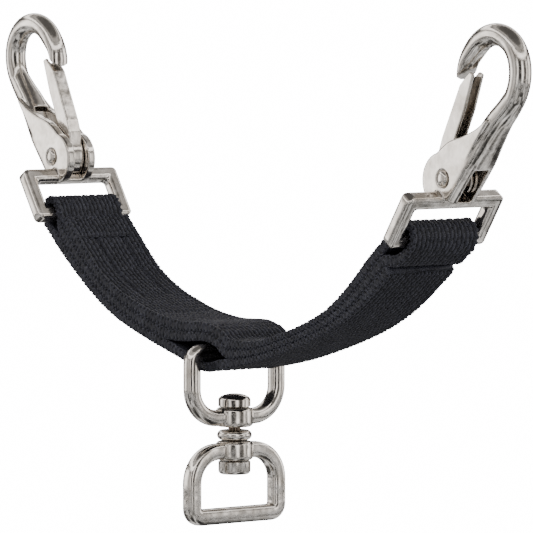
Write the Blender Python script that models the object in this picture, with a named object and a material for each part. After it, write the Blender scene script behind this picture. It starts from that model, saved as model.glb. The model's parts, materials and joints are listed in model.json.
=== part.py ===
"""Martingale coupling strap: a nylon strap with a spring snap hook at each end and a double swivel below its middle.

The origin is the centre of the swivel's top bar, which lies in the strap's pocket. +X points to the right
hook, +Y across the strap and +Z up. The strap hangs in a curve in the XZ plane.
"""

from math import atan2, cos, hypot, pi, radians, sin

import bmesh
import bpy
from mathutils import Vector

MM = 0.001

# Driving sizes, in millimetres.
CLEARANCE = 0.3
STRAP_WIDTH = 20.0
SEAM_INSET = 6.5
THREAD_DIAMETER = 0.6
EYE_WIRE = 4.0
EYE_INNER_WIDTH = 24.0
EYE_PITCH = 12.0
SWIVEL_WIRE = 4.4
SWIVEL_PITCH = 28.3
LEFT_LEAN = radians(33)
RIGHT_LEAN = radians(34.5)
BOW_RADIUS = 10.0
BOW_SECTION = 5.8
BOW_TALL = 1.07
BOW_BACK = 0.95
HOOK_THICKNESS = 9.4
SLOT_WIDTH = 4.6
RIVET_DIAMETER = 2.4
PIN_DIAMETER = 3.4

MERGE_DISTANCE = 0.01
ROUND_STEPS = 24
STRAP_STEPS = 4
POCKET_SEAMS = (2 * STRAP_STEPS - 2, 5 * STRAP_STEPS + 1)
EYE_CORNER = 1.13
BORE_STEPS = 20

HALF_SLOT = SLOT_WIDTH / 2
HALF_HOOK = HOOK_THICKNESS / 2

# The strap's centre line from the left eye's lower bar to the right eye's, as (x, z, thickness).
LEFT_BAR = (-69.9, 33.9)
RIGHT_BAR = (84.3, 33.9)
LEFT_FLEX = (-31.0, 7.85)
RIGHT_FLEX = (33.0, 4.1)
LEFT_ARM = ((*LEFT_BAR, 9.2), (-61.6, 26.3, 9.0), (-50.0, 16.8, 7.4), (-40.0, 11.15, 7.5), (*LEFT_FLEX, 7.8))
LEFT_MIDDLE = ((*LEFT_FLEX, 7.8), (-22.0, 5.2, 8.2), (-11.0, 2.9, 9.8), (0.0, 1.4, 13.0))
RIGHT_MIDDLE = ((5.5, 1.0, 11.6), (11.0, 0.2, 8.0), (22.0, 1.3, 5.6), (*RIGHT_FLEX, 5.2))
RIGHT_ARM = (
    (*RIGHT_FLEX, 5.2),
    (43.0, 7.2, 5.2),
    (54.0, 11.7, 5.8),
    (64.0, 17.9, 7.4),
    (74.0, 26.0, 8.8),
    (*RIGHT_BAR, 9.2),
)

# Points of a hook are (v, u): u runs up its axis from the eye's top bar, v towards the gate.
RIVET = (1.6, 5.5)
BOW_CENTRE = (4.2, 35.4)
LOBE_CENTRE = (2.2, 4.5)
LOBE_RADIUS = 7.2
SPINE = ((-4.7, 31.5), (-3.8, 27.5), (-3.2, 22.0), (-2.8, 15.0), (-1.9, 6.0), (-1.5, 2.0))
TIP_ANGLE = radians(-44)
TIP_TAPER = 1.05
TAPER_START = radians(12)
TAPER_SPAN = radians(47)
TIP_CUT = ((14.98, 24.3), (12.4, 33.2), (2.0, 33.2), (2.0, 24.3))
GATE_BASE_RADIUS = 6.3
GATE_WALL = 0.8
GATE_WIDTH = SLOT_WIDTH - 2 * CLEARANCE

# Heights of the swivel's pieces below its top bar.
UPPER_HUB = (-20.5, -15.4)
COLLAR = (-24.1, -21.4)
LOWER_HUB = (-29.5, -24.4)
UPPER_HEAD_TOP = -11.6
LOWER_HEAD_BOTTOM = -33.3
RING_BOTTOM_BAR = -44.3
HEAD_DIAMETER = 8.7
HUB_DIAMETER = 10.0
COLLAR_DIAMETER = 9.4


def clear_scene():
    for item in list(bpy.data.objects):
        bpy.data.objects.remove(item, do_unlink=True)


def make_material(name, colour, metallic, roughness):
    material = bpy.data.materials.new(name)
    material.use_nodes = True
    shader = material.node_tree.nodes["Principled BSDF"]
    shader.inputs["Base Color"].default_value = (*colour, 1.0)
    shader.inputs["Metallic"].default_value = metallic
    shader.inputs["Roughness"].default_value = roughness
    return material


def arc(centre, radius, start, end, steps):
    """Points of an arc, from the start angle to the end angle."""
    angles = [start + (end - start) * i / steps for i in range(steps + 1)]
    return [(centre[0] + radius * cos(a), centre[1] + radius * sin(a)) for a in angles]


def smooth_curve(points, steps):
    """Points of a Catmull-Rom curve through the given ones."""
    ends = [points[0], *points, points[-1]]
    curve = []
    for i in range(len(points) - 1):
        a, b, c, d = (Vector(p) for p in ends[i : i + 4])
        for k in range(steps):
            t = k / steps
            near = 2 * b + (c - a) * t
            far = (2 * a - 5 * b + 4 * c - d) * t**2 + (3 * b - a - 3 * c + d) * t**3
            curve.append(tuple((near + far) / 2))
    return [*curve, tuple(points[-1])]


def normals(path, closed):
    """The unit normal at each point of a plane path, on its left-hand side."""
    found = []
    count = len(path)
    for i in range(count):
        before = path[(i - 1) % count] if closed or i else path[0]
        after = path[(i + 1) % count] if closed or i < count - 1 else path[-1]
        along = (after[0] - before[0], after[1] - before[1])
        length = hypot(*along)
        found.append((-along[1] / length, along[0] / length))
    return found


def mesh_object(name, points, faces):
    mesh = bpy.data.meshes.new(name)
    mesh.from_pydata([Vector(p) * MM for p in points], [], faces)
    shape = bmesh.new()
    shape.from_mesh(mesh)
    bmesh.ops.recalc_face_normals(shape, faces=shape.faces)
    shape.to_mesh(mesh)
    shape.free()
    item = bpy.data.objects.new(name, mesh)
    bpy.context.scene.collection.objects.link(item)
    return item


def place(plane, a, b, across):
    """A point of a drawing plane, (a, b) in it and (across) out of it, in the object's own axes."""
    return (a, across, b) if plane == "XZ" else (across, a, b)


def extrusion(name, plane, outline, half_width):
    """A prism of a plane outline, centred on the drawing plane."""
    count = len(outline)
    points = [place(plane, *p, side) for side in (-half_width, half_width) for p in outline]
    sides = [(i, (i + 1) % count, count + (i + 1) % count, count + i) for i in range(count)]
    return mesh_object(name, points, [*sides, tuple(range(count)), tuple(range(count, 2 * count))])


def sweep(name, plane, path, sections, closed=False):
    """A bar along a plane path. A section lists (offset to the path's left, offset across the plane)."""
    points = []
    for (a, b), (na, nb), section in zip(path, normals(path, closed), sections):
        points += [place(plane, a + na * s, b + nb * s, across) for s, across in section]
    sides, stations = len(sections[0]), len(path)
    faces = []
    for i in range(stations if closed else stations - 1):
        j = (i + 1) % stations
        for k in range(sides):
            n = (k + 1) % sides
            faces.append((i * sides + k, i * sides + n, j * sides + n, j * sides + k))
    if not closed:
        faces += [tuple(range(sides)), tuple(range((stations - 1) * sides, stations * sides))]
    return mesh_object(name, points, faces)


def rounded_section(half_in, half_across, power, sides):
    """A superellipse: power 2 is an ellipse, and a larger power a square with rounded corners."""
    section = []
    for i in range(sides):
        angle = 2 * pi * (i + 0.5) / sides
        c, s = cos(angle), sin(angle)
        reach = (abs(c) ** power + abs(s) ** power) ** (-1 / power)
        section.append((half_in * reach * c, half_across * reach * s))
    return section


def lathe(name, profile, steps, axis="Z", centre=(0.0, 0.0)):
    """A turned piece. The profile lists (radius, height), and its first and last radius are 0."""
    points, faces = [], []
    for radius, height in profile:
        for i in range(steps):
            angle = 2 * pi * (i + 0.5) / steps
            x, y = radius * cos(angle), radius * sin(angle)
            points.append((centre[0] + x, height, centre[1] + y) if axis == "Y" else (x, y, height))
    for row in range(len(profile) - 1):
        for i in range(steps):
            j = (i + 1) % steps
            faces.append((row * steps + i, row * steps + j, (row + 1) * steps + j, (row + 1) * steps + i))
    item = mesh_object(name, points, faces)
    clean(item.data)
    return item


def cylinder(name, radius, low, high, steps, axis="Z", centre=(0.0, 0.0)):
    profile = [(0.0, low), (radius, low), (radius, high), (0.0, high)]
    return lathe(name, profile, steps, axis, centre)


def combine(item, other, operation):
    """Joins the other shape to the item, or cuts it out, and removes the other shape."""
    modifier = item.modifiers.new(operation.title(), "BOOLEAN")
    modifier.operation = operation
    modifier.solver = "EXACT"
    modifier.object = other
    graph = bpy.context.evaluated_depsgraph_get()
    mesh = bpy.data.meshes.new_from_object(item.evaluated_get(graph))
    item.modifiers.clear()
    item.data = mesh
    bpy.data.objects.remove(other, do_unlink=True)
    clean(mesh)


def clean(mesh):
    """Merges points that a cut has left almost on top of each other."""
    shape = bmesh.new()
    shape.from_mesh(mesh)
    bmesh.ops.remove_doubles(shape, verts=shape.verts, dist=MERGE_DISTANCE * MM)
    bmesh.ops.dissolve_degenerate(shape, edges=shape.edges, dist=MERGE_DISTANCE * MM)
    shape.to_mesh(mesh)
    shape.free()


def finish(item, material, parent=None, location=(0.0, 0.0, 0.0)):
    item.data.materials.clear()
    item.data.materials.append(material)
    item.data.shade_smooth()
    item.data.set_sharp_from_angle(angle=radians(35))
    item.location = Vector(location) * MM
    item.parent = parent
    return item


def joint_frame(name, x, z, lean=0.0, turn=0.0):
    """An empty on a joint's axis, which the pieces of one moving body have as their parent."""
    frame = bpy.data.objects.new(name, None)
    frame.location = Vector((x, 0.0, z)) * MM
    frame.rotation_euler = (0.0, lean, turn)
    bpy.context.scene.collection.objects.link(frame)
    return frame


def at_hinge(points):
    """Points of a hook, moved so that the eye's lower bar is at the origin."""
    return [(v, u + EYE_PITCH) for v, u in points]


# Snap hook


def bow_path(steps):
    """The bow's centre line and how far its bar thins on the inside towards the tip, from 1 there to 0."""
    path, thinning = [], []
    for i in range(steps + 1):
        angle = TIP_ANGLE + (pi - TIP_ANGLE) * i / steps
        share = min(1.0, max(0.0, (TAPER_START - angle) / TAPER_SPAN))
        thin = share * share * (3 - 2 * share)
        reach = BOW_RADIUS + TIP_TAPER * thin
        wide = BOW_BACK if angle > pi / 2 else 1.0
        tall = BOW_TALL if angle > 0 else 1.0
        path.append((BOW_CENTRE[0] + reach * wide * cos(angle), BOW_CENTRE[1] + reach * tall * sin(angle)))
        thinning.append(thin)
    return path, thinning


def hook_bar():
    """The hook's round bar: the tip, the bow and the spine, which widens towards the cheeks."""
    steps = 20
    bow, thinning = bow_path(steps)
    path = at_hinge([*bow, *smooth_curve([bow[-1], *SPINE], 3)[1:]])
    bottom, top = path[-1][1], path[steps][1]
    sections = []
    for i, point in enumerate(path):
        down = 0.0 if i < steps else (top - point[1]) / (top - bottom)
        half_in = BOW_SECTION / 2 - TIP_TAPER * (thinning[i] if i < steps else 0.0)
        half_across = BOW_SECTION / 2 + (HALF_HOOK - BOW_SECTION / 2) * min(1.0, 1.6 * down)
        sections.append(rounded_section(half_in, half_across, 2.0 + 1.6 * down, 12))
    bar = sweep("hook_bar", "XZ", path, sections)
    combine(bar, extrusion("tip_cut", "XZ", at_hinge(TIP_CUT), BOW_SECTION), "DIFFERENCE")
    return bar


def cheek_outline():
    lobe = arc(LOBE_CENTRE, LOBE_RADIUS, radians(-115), radians(42), 14)
    upper = smooth_curve([lobe[-1], (5.3, 14.4), (1.7, 18.8), (-1.4, 23.2), (-3.4, 27.6)], 2)[1:]
    spine_side = [(-4.2, 27.6), (-3.6, 20.0), (-3.2, 12.0), (-2.4, 2.0)]
    return at_hinge([*lobe, *upper, *spine_side])


def slot_outline():
    """The space between the cheeks: a window through the spine below, and a pocket behind the gate above."""
    clear = EYE_WIRE / 2 + CLEARANCE
    window = [(-12.0, clear), (clear, clear), (clear, -8.0), (14.0, -8.0)]
    pocket = [(14.0, 24.0), (1.0, 24.0), (-2.2, 22.6), (-2.0, 13.0), (-12.0, 13.0)]
    return at_hinge([*window, *pocket])


def rounded_rectangle(half_width, low, high, corner, steps):
    """An upright rectangle's outline, with round corners."""
    right, left = half_width, -half_width
    outline = []
    for a, b, start in ((right, low, -90), (right, high, 0), (left, high, 90), (left, low, 180)):
        centre = (a - corner if a > 0 else a + corner, b + corner if b == low else b - corner)
        outline += arc(centre, corner, radians(start), radians(start + 90), steps)
    return outline


def hook_eye():
    """The rectangular eye, of squarish bar with rounded edges."""
    half, wire = EYE_INNER_WIDTH / 2, EYE_WIRE / 2
    outer = rounded_rectangle(half + EYE_WIRE, -wire, EYE_PITCH + wire, 2.4, 4)
    eye = extrusion("eye", "YZ", outer, wire)
    inner = rounded_rectangle(half, wire, EYE_PITCH - wire, 0.8, 2)
    combine(eye, extrusion("opening", "YZ", inner, EYE_WIRE), "DIFFERENCE")
    bevel(eye, 1.4, 3)
    return eye


def bevel(item, width, segments):
    """Rounds an item's sharp edges."""
    modifier = item.modifiers.new("Bevel", "BEVEL")
    modifier.width = width * MM
    modifier.segments = segments
    modifier.limit_method = "ANGLE"
    modifier.angle_limit = radians(60)


def hook_body(name, material, frame):
    body = hook_bar()
    body.name = name
    cheeks = extrusion("cheeks", "XZ", cheek_outline(), HALF_HOOK)
    bevel(cheeks, 0.7, 2)
    combine(body, cheeks, "UNION")
    combine(body, extrusion("slot", "XZ", slot_outline(), HALF_SLOT), "DIFFERENCE")
    combine(body, hook_eye(), "UNION")
    hole_radius = RIVET_DIAMETER / 2 + CLEARANCE
    centre = (RIVET[0], RIVET[1] + EYE_PITCH)
    hole = cylinder("hole", hole_radius, -2 * HALF_HOOK, 2 * HALF_HOOK, 20, "Y", centre)
    combine(body, hole, "DIFFERENCE")
    seat = extrusion("seat", "XZ", bow_seat_outline(), BOW_SECTION)
    combine(body, seat, "DIFFERENCE")
    return finish(body, material, frame)


def bow_seat_outline():
    """A small flat inside the top of the bow, where the bit's ring rests."""
    half, reach = 2.6, BOW_RADIUS * BOW_TALL - BOW_SECTION / 2
    v, u = BOW_CENTRE
    return at_hinge([(v - half, u), (v + half, u), (v + half, u + reach + 0.3), (v - half, u + reach + 0.3)])


def from_rivet(points):
    return [(v - RIVET[0], u - RIVET[1]) for v, u in points]


def gate_outline():
    """The gate's side: a round base on the rivet, the web's outer line and two ears inside the hook's tip."""
    base = arc(RIVET, GATE_BASE_RADIUS, radians(-79), 0.0, 8)
    front = [(9.6, 8.6), (10.4, 12.0), (12.3, 27.0), (11.7, 29.5)]
    finger = [*front, (11.0, 31.9), (9.5, 32.2), (7.2, 23.0), (5.8, 13.0)]
    back = arc(RIVET, 4.4, radians(95), radians(200), 8)
    above_bar = arc(RIVET, RIVET[1] - EYE_WIRE / 2 - CLEARANCE, radians(215), radians(266), 5)
    beside_bar = (EYE_WIRE / 2 + 3 * CLEARANCE, EYE_WIRE / 2 + CLEARANCE)
    return from_rivet([*base, *finger, *back, *above_bar, beside_bar])


def channel_outline():
    """The hollow between the gate's two flanges, open towards the inside of the hook."""
    base = arc(RIVET, GATE_BASE_RADIUS - GATE_WALL, radians(-78), 0.0, 8)
    finger = [(9.6 - GATE_WALL, 8.6), (10.4 - GATE_WALL, 12.0), (12.3 - GATE_WALL, 27.0), (12.3 - GATE_WALL, 34.0)]
    return from_rivet([*base, *finger, (-9.0, 34.0), (-9.0, 0.0)])


def hook_gate(name, material, frame):
    gate = extrusion(name, "XZ", gate_outline(), GATE_WIDTH / 2)
    channel = extrusion("channel", "XZ", channel_outline(), GATE_WIDTH / 2 - GATE_WALL)
    combine(gate, channel, "DIFFERENCE")
    hole = cylinder("hole", RIVET_DIAMETER / 2 + CLEARANCE, -HALF_HOOK, HALF_HOOK, 20, "Y")
    combine(gate, hole, "DIFFERENCE")
    return finish(gate, material, frame)


def hook_rivet(name, material, frame):
    shank, head, inner = RIVET_DIAMETER / 2, 1.95, HALF_HOOK + CLEARANCE
    side = [(shank, inner), (head, inner), (head, inner + 0.7), (head * 0.7, inner + 1.15), (0.0, inner + 1.25)]
    profile = [*[(r, -h) for r, h in reversed(side)], *side]
    return finish(lathe(name, profile, 20, "Y"), material, frame)


def gate_spring(name, material, frame):
    """A torsion spring round the rivet: one leg lies in the gate's channel, one in the pocket of the body."""
    wire, radius, turns, steps = 0.28, 1.95, 2.5, 12
    pitch = 0.62
    coil = []
    for i in range(int(turns * steps) + 1):
        angle = radians(60) + 2 * pi * i / steps
        coil.append((radius * cos(angle), (i / steps - turns / 2) * pitch, radius * sin(angle)))
    first, last = coil[0], coil[-1]
    gate_leg = (3.4, first[1], 8.4)
    body_leg = (-3.4, last[1], 8.0)
    data = bpy.data.curves.new(name, "CURVE")
    data.dimensions = "3D"
    data.bevel_depth = wire * MM
    data.bevel_resolution = 1
    data.use_fill_caps = True
    spline = data.splines.new("POLY")
    points = [gate_leg, *coil, body_leg]
    spline.points.add(len(points) - 1)
    for point, place_mm in zip(spline.points, points):
        point.co = (*(Vector(place_mm) * MM), 1.0)
    guide = bpy.data.objects.new("spring_guide", data)
    bpy.context.scene.collection.objects.link(guide)
    graph = bpy.context.evaluated_depsgraph_get()
    spring = bpy.data.objects.new(name, bpy.data.meshes.new_from_object(guide.evaluated_get(graph)))
    bpy.context.scene.collection.objects.link(spring)
    bpy.data.objects.remove(guide, do_unlink=True)
    return finish(spring, material, frame)


def snap_hook(side, bar, lean, turn, nickel, steel):
    eye = joint_frame(f"{side}_eye_axis", *bar, -lean, turn)
    rivet_axis = joint_frame(f"{side}_rivet_axis", RIVET[0], RIVET[1] + EYE_PITCH)
    rivet_axis.parent = eye
    hook_body(f"{side}_hook_body", nickel, eye)
    hook_rivet(f"{side}_hook_rivet", nickel, rivet_axis)
    gate_spring(f"{side}_gate_spring", steel, rivet_axis)
    hook_gate(f"{side}_hook_gate", nickel, rivet_axis)


# Double swivel


def corner_path(corners):
    """A closed path with a rounded corner at each (y, z, radius, start angle)."""
    path = []
    for y, z, radius, start in corners:
        centre = (y - radius if y > 0 else y + radius, z + radius if start in (180, 270) else z - radius)
        path += arc(centre, radius, radians(start), radians(start + 90), 6 if radius > 3 else 3)
    return path


def bored_hub(item, span, bore):
    low, high = span
    hub = HUB_DIAMETER / 2
    edge = 0.5
    profile = [(0.0, low), (hub - edge, low), (hub, low + edge), (hub, high - edge), (hub - edge, high), (0.0, high)]
    combine(item, lathe("hub", profile, ROUND_STEPS), "UNION")
    combine(item, cylinder("bore", bore, low - 1.0, high + 1.0, BORE_STEPS), "DIFFERENCE")


def swivel_loop(material, frame):
    half, low = SWIVEL_PITCH / 2, sum(UPPER_HUB) / 2
    path = corner_path(((half, 0.0, 3.0, 0), (-half, 0.0, 3.0, 90), (-half, low, 8.0, 180), (half, low, 8.0, 270)))
    section = rounded_section(SWIVEL_WIRE / 2, SWIVEL_WIRE / 2, 2.4, 12)
    loop = sweep("swivel_loop", "YZ", path, [section] * len(path), closed=True)
    bored_hub(loop, UPPER_HUB, PIN_DIAMETER / 2 + CLEARANCE)
    return finish(loop, material, frame)


def swivel_ring(material, frame):
    half, high = SWIVEL_PITCH / 2, sum(LOWER_HUB) / 2
    low = RING_BOTTOM_BAR
    path = corner_path(((half, high, 8.2, 0), (-half, high, 8.2, 90), (-half, low, 2.4, 180), (half, low, 2.4, 270)))
    section = rounded_section(SWIVEL_WIRE / 2, SWIVEL_WIRE / 2, 3.2, 12)
    ring = sweep("swivel_ring", "YZ", path, [section] * len(path), closed=True)
    bored_hub(ring, LOWER_HUB, PIN_DIAMETER / 2 + CLEARANCE)
    seat_top = RING_BOTTOM_BAR + SWIVEL_WIRE / 2
    seat_low = seat_top - 0.35
    above = seat_top + 2.0
    seat = extrusion("seat", "YZ", [(-9.0, seat_low), (9.0, seat_low), (9.0, above), (-9.0, above)], 4.0)
    combine(ring, seat, "DIFFERENCE")
    return finish(ring, material, frame)


def swivel_pin(material, frame):
    shank, head = PIN_DIAMETER / 2, HEAD_DIAMETER / 2
    upper, lower = UPPER_HUB[1] + CLEARANCE, LOWER_HUB[0] - CLEARANCE
    bottom, top = LOWER_HEAD_BOTTOM, UPPER_HEAD_TOP
    profile = [(0.0, bottom), (head - 1.0, bottom), (head - 0.3, bottom + 0.3), (head, bottom + 1.0)]
    profile += [(head, lower), (shank, lower), (shank, upper), (head, upper), (head, top - 1.3)]
    profile += [(head - 0.4, top - 0.6), (head - 1.3, top - 0.25), (0.0, top)]
    return finish(lathe("swivel_pin", profile, ROUND_STEPS), material, frame)


def swivel_collar(material, frame):
    low, high = COLLAR
    outer, half = COLLAR_DIAMETER / 2, (high - low) / 2
    bead = arc((outer - half, (low + high) / 2), half, -pi / 2, pi / 2, 8)
    collar = lathe("swivel_collar", [(0.0, low), *bead, (0.0, high)], ROUND_STEPS)
    combine(collar, cylinder("bore", PIN_DIAMETER / 2 + CLEARANCE, low - 1.0, high + 1.0, BORE_STEPS), "DIFFERENCE")
    return finish(collar, material, frame)


# Strap


def face_line(line, side, lift=0.0):
    """The strap's upper face (side 1) or lower face (side -1), or a line lifted off it."""
    path = smooth_curve(line, STRAP_STEPS)
    across = normals(path, closed=False)
    reach = [side * (thickness / 2 + lift) for _, _, thickness in path]
    return [(x + n[0] * r, z + n[1] * r) for (x, z, _), n, r in zip(path, across, reach)]


def strap_outline(line):
    """The strap's side, thicker where its layers go round a bar, with a round end at each end."""
    upper, lower = face_line(line, 1), face_line(line, -1)
    first = atan2(upper[0][1] - lower[0][1], upper[0][0] - lower[0][0])
    last = atan2(upper[-1][1] - lower[-1][1], upper[-1][0] - lower[-1][0])
    start = arc(line[0][:2], line[0][2] / 2, first + pi, first, 8)[1:-1]
    end = arc(line[-1][:2], line[-1][2] / 2, last, last - pi, 8)[1:-1]
    return [*start, *upper, *end, *reversed(lower)]


def strap_part(name, outline, bar, way, material, frame):
    """A length of the strap, with the way through it for the bar that it goes round."""
    x0, z0 = frame.location.x / MM, frame.location.z / MM
    piece = extrusion(name, "XZ", [(x - x0, z - z0) for x, z in outline], STRAP_WIDTH / 2)
    hole = cylinder("way", way, -STRAP_WIDTH, STRAP_WIDTH, BORE_STEPS, "Y", (bar[0] - x0, bar[1] - z0))
    combine(piece, hole, "DIFFERENCE")
    return finish(piece, material, frame)


def trimmed(line, at_start, at_end):
    """A line cut back at a flex hinge, so that its round end clears the next length's."""
    line = list(line)
    for is_cut, end, inner in ((at_start, 0, 1), (at_end, -1, -2)):
        if is_cut:
            point, towards = Vector(line[end][:2]), Vector(line[inner][:2])
            point += (towards - point).normalized() * (line[end][2] / 2 + CLEARANCE)
            line[end] = (*point, line[end][2])
    return line


def thread_row(name, route, material, frame):
    """One sewing thread that lies on the strap's upper face along a route of (x, y, z) points."""
    data = bpy.data.curves.new(name, "CURVE")
    data.dimensions = "3D"
    data.bevel_depth = THREAD_DIAMETER / 2 * MM
    data.bevel_resolution = 1
    data.use_fill_caps = True
    spline = data.splines.new("POLY")
    spline.points.add(len(route) - 1)
    for point, place_mm in zip(spline.points, route):
        point.co = (*(Vector(place_mm) * MM - frame.location), 1.0)
    data.materials.append(material)
    thread = bpy.data.objects.new(name, data)
    thread.parent = frame
    bpy.context.scene.collection.objects.link(thread)
    return thread


def end_seam(line, eye_first):
    """The route of a seam up the near edge of an arm, across below the eye and down the far edge."""
    rows = face_line(line, 1, CLEARANCE + THREAD_DIAMETER / 2)
    rows = rows[STRAP_STEPS:-1][::-1] if eye_first else rows[1:-STRAP_STEPS]
    near = [(x, -SEAM_INSET, z) for x, z in rows]
    far = [(x, SEAM_INSET, z) for x, z in reversed(rows)]
    return [*near, *far]


def strap(webbing, thread):
    eye_way = EYE_CORNER * EYE_WIRE / 2 + CLEARANCE
    pocket_way = SWIVEL_WIRE / 2 + CLEARANCE
    pocket_axis = joint_frame("pocket_axis", 0.0, 0.0)
    left_axis = joint_frame("left_flex_axis", *LEFT_FLEX)
    right_axis = joint_frame("right_flex_axis", *RIGHT_FLEX)
    left = trimmed(LEFT_ARM, False, True)
    centre = trimmed([*LEFT_MIDDLE, *RIGHT_MIDDLE], True, True)
    right = trimmed(RIGHT_ARM, True, False)
    strap_part("strap_left", strap_outline(left), LEFT_BAR, eye_way, webbing, left_axis)
    strap_part("strap_centre", strap_outline(centre), (0.0, 0.0), pocket_way, webbing, pocket_axis)
    strap_part("strap_right", strap_outline(right), RIGHT_BAR, eye_way, webbing, right_axis)
    thread_row("left_end_stitching", end_seam(left, True), thread, left_axis)
    thread_row("right_end_stitching", end_seam(right, False), thread, right_axis)
    above = face_line(centre, 1, CLEARANCE + THREAD_DIAMETER / 2)
    half = STRAP_WIDTH / 2 - 1.5
    for side, (x, z) in (("left", above[POCKET_SEAMS[0]]), ("right", above[POCKET_SEAMS[1]])):
        name = f"pocket_stitching_{side}"
        thread_row(name, [(x, -half, z), (x, 0.0, z), (x, half, z)], thread, pocket_axis)


def main():
    clear_scene()
    nickel = make_material("nickel_plate", (0.72, 0.68, 0.64), 1.0, 0.18)
    steel = make_material("spring_steel", (0.35, 0.35, 0.36), 1.0, 0.35)
    webbing = make_material("nylon_webbing", (0.02, 0.02, 0.025), 0.0, 0.8)
    thread = make_material("sewing_thread", (0.03, 0.03, 0.035), 0.0, 0.6)
    strap(webbing, thread)
    snap_hook("left", LEFT_BAR, LEFT_LEAN, 0.0, nickel, steel)
    snap_hook("right", RIGHT_BAR, RIGHT_LEAN, pi, nickel, steel)
    swing = joint_frame("swivel_axis", 0.0, 0.0)
    swivel_loop(nickel, swing)
    swivel_pin(nickel, swing)
    swivel_collar(nickel, swing)
    swivel_ring(nickel, swing)


main()
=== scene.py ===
"""The looks of the martingale coupling strap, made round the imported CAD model. Metres, +Z up."""

import json
from math import cos, hypot, pi, radians, sin

import bmesh
import bpy
import numpy as np
from mathutils import Matrix, Vector


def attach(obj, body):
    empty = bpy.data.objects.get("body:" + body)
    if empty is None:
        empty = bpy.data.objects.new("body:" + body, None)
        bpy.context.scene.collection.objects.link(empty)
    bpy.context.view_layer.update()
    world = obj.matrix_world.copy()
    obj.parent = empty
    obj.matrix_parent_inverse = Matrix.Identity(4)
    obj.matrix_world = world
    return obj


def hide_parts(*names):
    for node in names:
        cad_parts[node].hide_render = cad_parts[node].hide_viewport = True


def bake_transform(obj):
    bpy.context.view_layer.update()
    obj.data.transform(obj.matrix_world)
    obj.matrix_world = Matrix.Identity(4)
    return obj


MM = 0.001
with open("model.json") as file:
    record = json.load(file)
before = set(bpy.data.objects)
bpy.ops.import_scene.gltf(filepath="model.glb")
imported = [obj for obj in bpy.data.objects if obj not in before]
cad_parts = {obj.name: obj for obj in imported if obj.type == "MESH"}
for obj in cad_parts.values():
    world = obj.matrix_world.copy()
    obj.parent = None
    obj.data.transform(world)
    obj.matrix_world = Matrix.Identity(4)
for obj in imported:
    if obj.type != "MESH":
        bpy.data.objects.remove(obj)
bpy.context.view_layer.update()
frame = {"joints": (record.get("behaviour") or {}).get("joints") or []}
JOINTS = {joint["name"]: joint for joint in frame["joints"]}


def joint_place(name):
    """Where a joint is, as (x, z) in millimetres."""
    x, _, z = JOINTS[name]["pos_m"]
    return (x / MM, z / MM)


# Sizes that the CAD model has too, in millimetres.
STRAP_WIDTH = 21.2
LAYER = 2.05
EYE_WIRE = 4.0
EYE_INNER_WIDTH = 24.0
EYE_ROUND = 1.35
EYE_CORNER = 2.4
EYE_PITCH = 12.0
SWIVEL_WIRE = 4.4
SWIVEL_PITCH = 28.3
LEANS = {"left": radians(33), "right": radians(34.5)}
BOW_CENTRE = (4.2, 35.4)
BOW_RADIUS = 10.0
BOW_SECTION = 5.8
BOW_TALL = 1.07
BOW_BACK = 0.95
TIP_ANGLE = radians(-44)
TIP_TAPER = 1.05
TAPER_START = radians(12)
TAPER_SPAN = radians(47)
TIP_CUT = ((14.98, 24.3), (12.4, 33.2), (2.0, 33.2), (2.0, 24.3))
SPINE = ((-4.7, 31.5), (-3.8, 27.5), (-3.2, 22.0), (-2.8, 15.0), (-1.9, 6.0), (-1.5, 2.0))
HALF_HOOK = 4.7
HALF_SLOT = 2.3
RIVET = (1.6, 5.5)
RIVET_DIAMETER = 2.4
HOLE_RADIUS = 1.5
RECESS_RADIUS = 2.35
RECESS_DEPTH = 0.55
LOBE_CENTRE = (2.2, 4.5)
LOBE_RADIUS = 7.2
GATE_BASE_RADIUS = 6.3
GATE_WALL = 0.8
GATE_WIDTH = 4.0
CLEARANCE = 0.3
CUTTER = 9.0
UPPER_HUB = (-20.5, -15.4)
COLLAR = (-24.1, -21.4)
LOWER_HUB = (-29.5, -24.4)
UPPER_HEAD_TOP = -11.6
LOWER_HEAD_BOTTOM = -33.3
RING_BOTTOM_BAR = -44.3
HEAD_DIAMETER = 8.7
HUB_DIAMETER = 10.0
COLLAR_DIAMETER = 9.4
PIN_DIAMETER = 3.4

LEFT_BAR = joint_place("left_eye_hinge")
RIGHT_BAR = joint_place("right_eye_hinge")
LEFT_FLEX = joint_place("left_strap_flex")
RIGHT_FLEX = joint_place("right_strap_flex")

# The strap's centre line from the left eye's lower bar to the right eye's, as (x, z, thickness).
STRAP_LINE = (
    (*LEFT_BAR, 9.2),
    (-61.6, 26.3, 9.0),
    (-50.0, 16.8, 7.4),
    (-40.0, 11.15, 7.5),
    (*LEFT_FLEX, 7.8),
    (-22.0, 5.2, 8.2),
    (-11.0, 2.9, 9.8),
    (0.0, 1.4, 13.0),
    (5.5, 1.0, 11.6),
    (11.0, 0.2, 8.0),
    (22.0, 1.3, 5.6),
    (*RIGHT_FLEX, 5.2),
    (43.0, 7.2, 5.2),
    (54.0, 11.7, 5.8),
    (64.0, 17.9, 7.4),
    (74.0, 26.0, 8.8),
    (*RIGHT_BAR, 9.2),
)

# Fineness of the looks, in millimetres.
HOOK_VOXEL = 0.24
GATE_VOXEL = 0.15
WELD = 0.01
BEVEL_ANGLE = radians(60)
SWIVEL_VOXEL = 0.24
WEB_STEP = 0.25
WEB_COLUMNS = 84
UV_SCALE = 0.01

# The webbing's weave.
YARN_PITCH = 1.3
FLOAT_STAGGER = 0.28
FLOAT_LENGTH = 2.3
WEAVE_DEPTH = 0.62
EDGE_ROUND = 0.7
EDGE_LOOP = 1.5
EDGE_ROW = 0.85
EDGE_RELIEF = 0.75
PLY_SWELL = 1.0
SEAM_DEPTH = 0.6
SEAM_SIDE = 4.4
LEFT_SEAM = 13.0
RIGHT_SEAM = 13.5
LEFT_CUT = 5.0
RIGHT_CUT = 10.0

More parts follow.
